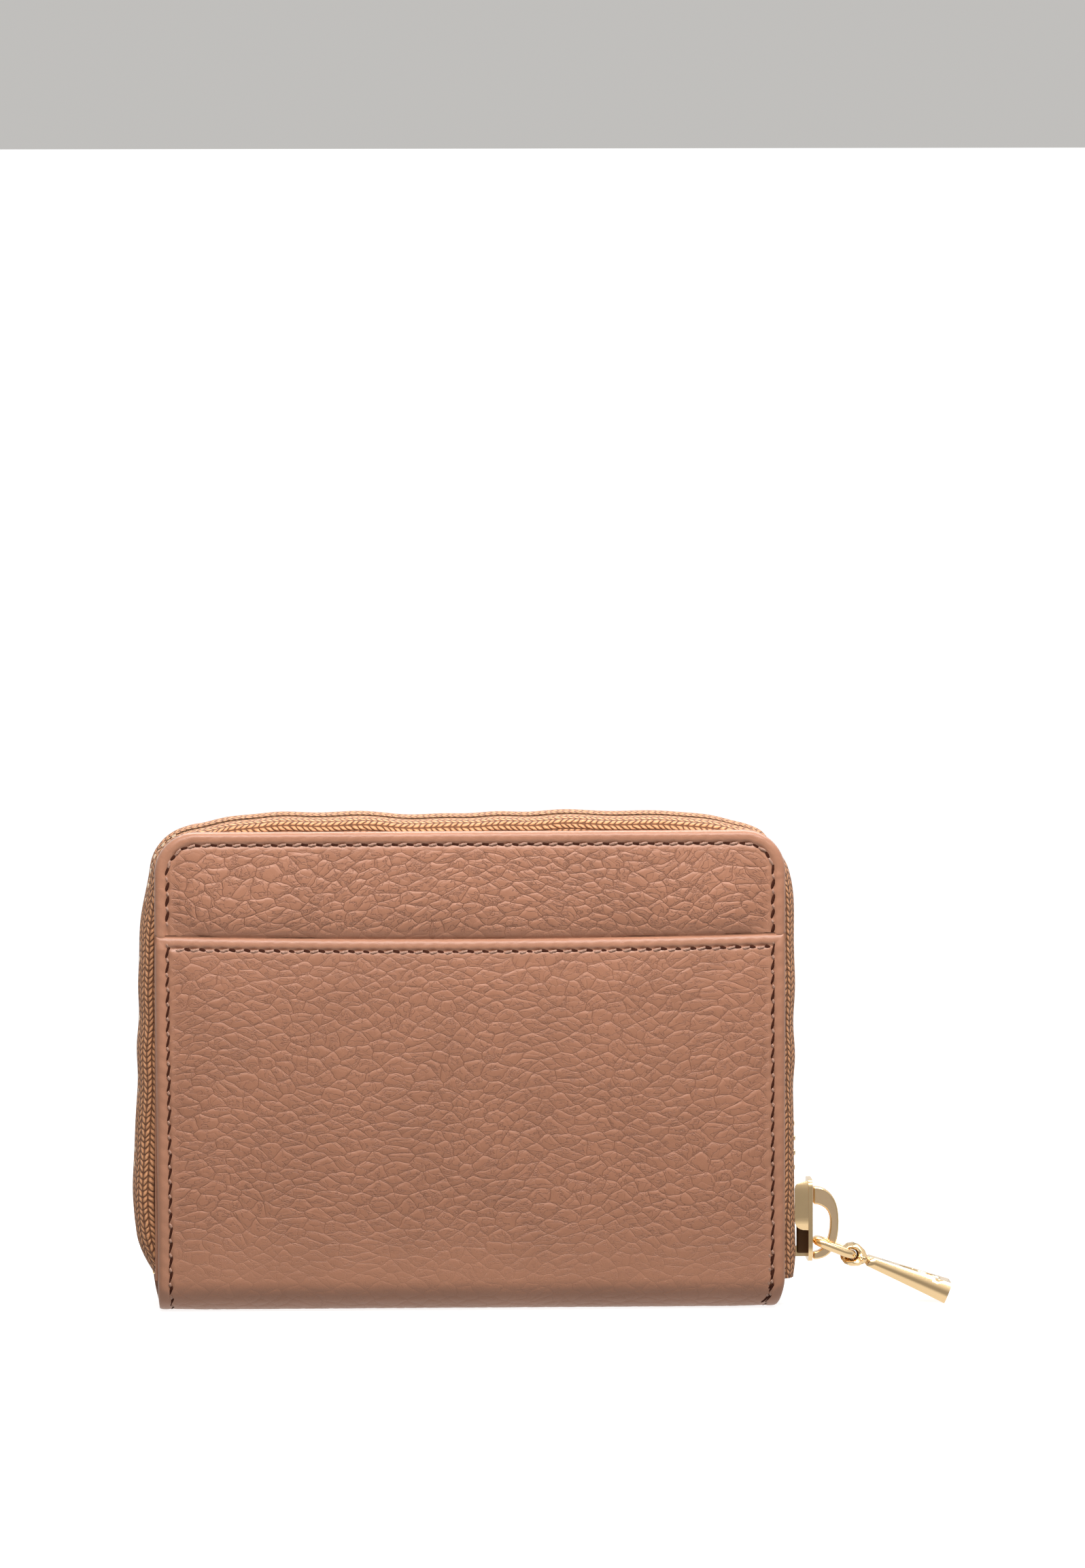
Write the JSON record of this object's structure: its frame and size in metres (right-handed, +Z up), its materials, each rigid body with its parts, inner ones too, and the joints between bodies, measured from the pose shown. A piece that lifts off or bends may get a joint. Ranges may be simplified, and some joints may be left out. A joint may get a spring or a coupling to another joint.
{
  "type": "zip-around wallet",
  "caption": "Compact leather wallet standing on its spine, with a zip round three sides, an outer slip pocket, card slots and a middle coin pocket.",
  "frame": {"origin": "middle of the spine's flat underside, on which the wallet stands", "axes": "+X to the right as seen from the pocket side, +Y from the pocket side to the front, +Z up"},
  "size_m": [0.1393, 0.0208, 0.0846],
  "materials": {
    "outer_leather": "pebbled, semi-matt brown",
    "inner_leather": "smooth, matt brown",
    "lining": "fine twill, matt tan",
    "zip_tape": "woven tape, golden brown",
    "zip_metal": "polished pale gold",
    "board": "plain board"
  },
  "bodies": {
    "back_half": {"pocket_and_spine_leather": "outer_leather", "back_panel_leather": "outer_leather", "back_board": "board", "back_lining": "lining", "spine_lining": "lining", "back_card_slot_1": "inner_leather", "back_card_slot_2": "inner_leather", "back_card_slot_3": "inner_leather", "back_gusset_left": "inner_leather", "back_gusset_right": "inner_leather", "back_zip_tape": "zip_tape", "back_zip_teeth": "zip_metal", "back_end_stop_left": "zip_metal", "back_end_stop_right": "zip_metal"},
    "coin_pocket": {"coin_pocket_front_wall": "inner_leather", "coin_pocket_back_wall": "inner_leather", "coin_pocket_base": "lining", "coin_pocket_left_end": "lining", "coin_pocket_right_end": "lining"},
    "front_half": {"front_leather": "outer_leather", "front_board": "board", "front_lining": "lining", "front_card_slot_1": "inner_leather", "front_card_slot_2": "inner_leather", "front_card_slot_3": "inner_leather", "front_gusset_left": "inner_leather", "front_gusset_right": "inner_leather", "front_zip_tape": "zip_tape", "front_zip_teeth": "zip_metal", "front_end_stop_left": "zip_metal", "front_end_stop_right": "zip_metal"},
    "slider": {"slider_body": "zip_metal", "slider_bridge": "zip_metal"},
    "link_ring": {"link_ring": "zip_metal"},
    "pull_tab": {"pull_tab": "zip_metal"}
  },
  "joints": [
    {"name": "coin_pocket_fold", "type": "hinge", "parent": "back_half", "child": "coin_pocket", "pos_m": [0, 0.0079, 0.003], "axis": [-1, 0, 0], "range_deg": [0, 40], "deforming": ["back_gusset_left", "back_gusset_right"]},
    {"name": "front_half_fold", "type": "hinge", "parent": "coin_pocket", "child": "front_half", "pos_m": [0, 0.0079, 0.003], "axis": [-1, 0, 0], "range_deg": [0, 40], "deforming": ["front_gusset_left", "front_gusset_right"]},
    {"name": "slider_travel", "type": "slide", "parent": "back_half", "child": "slider", "axis": [0, 0, 1], "range_m": [0, 0.05]},
    {"name": "ring_swing", "type": "hinge", "parent": "slider", "child": "link_ring", "pos_m": [0.0623, 0, 0.0098], "axis": [0, -1, 0], "range_deg": [-40, 24]},
    {"name": "pull_swing", "type": "hinge", "parent": "link_ring", "child": "pull_tab", "pos_m": [0.0662, 0, 0.00824], "axis": [0, -1, 0], "range_deg": [-28, 90]}
  ],
  "couplings": [
    {"joint": "front_half_fold", "follows": "coin_pocket_fold", "ratio": 1}
  ]
}
